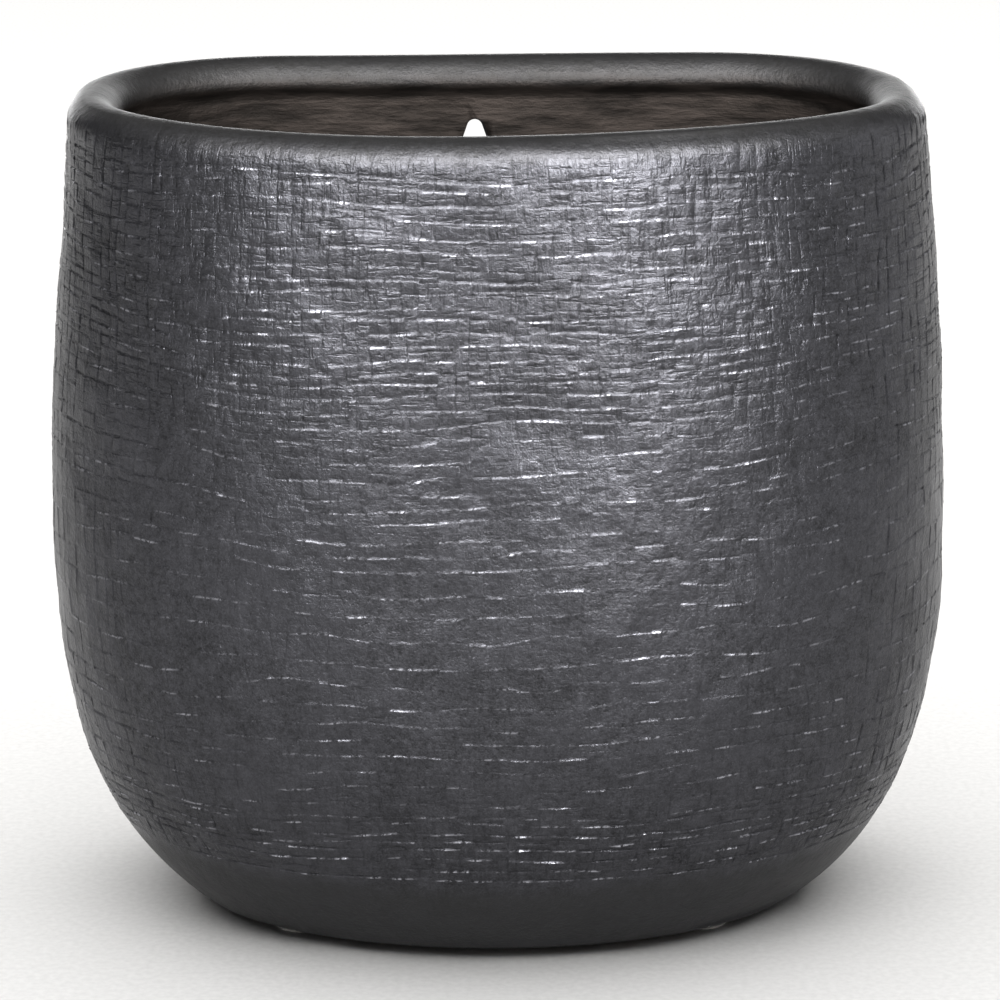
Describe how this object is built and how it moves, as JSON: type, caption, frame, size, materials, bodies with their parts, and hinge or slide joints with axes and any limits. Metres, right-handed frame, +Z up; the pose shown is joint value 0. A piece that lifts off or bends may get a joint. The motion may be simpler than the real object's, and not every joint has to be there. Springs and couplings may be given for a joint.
{
  "type": "flat-backed ceramic wall jar",
  "caption": "Open glazed stoneware jar, D-shaped in plan, with a rolled rim, a flat back pierced by a keyhole for a screw, and felt dots under the foot and on the back.",
  "frame": {"origin": "middle of the whole object's box in plan, on the surface that the foot dots stand on", "axes": "+X to the right seen from the front, the round front faces -Y, the flat back faces +Y, +Z up"},
  "size_m": [0.19, 0.116, 0.1775],
  "materials": {
    "glazed_stoneware": "metallic black glaze, satin",
    "felt": "matt wool felt"
  },
  "bodies": {
    "root": {"jar_body": "glazed_stoneware", "foot_pad_front_left": "felt", "foot_pad_front_right": "felt", "foot_pad_rear_left": "felt", "foot_pad_rear_right": "felt", "wall_pad_left": "felt", "wall_pad_right": "felt"}
  },
  "joints": []
}
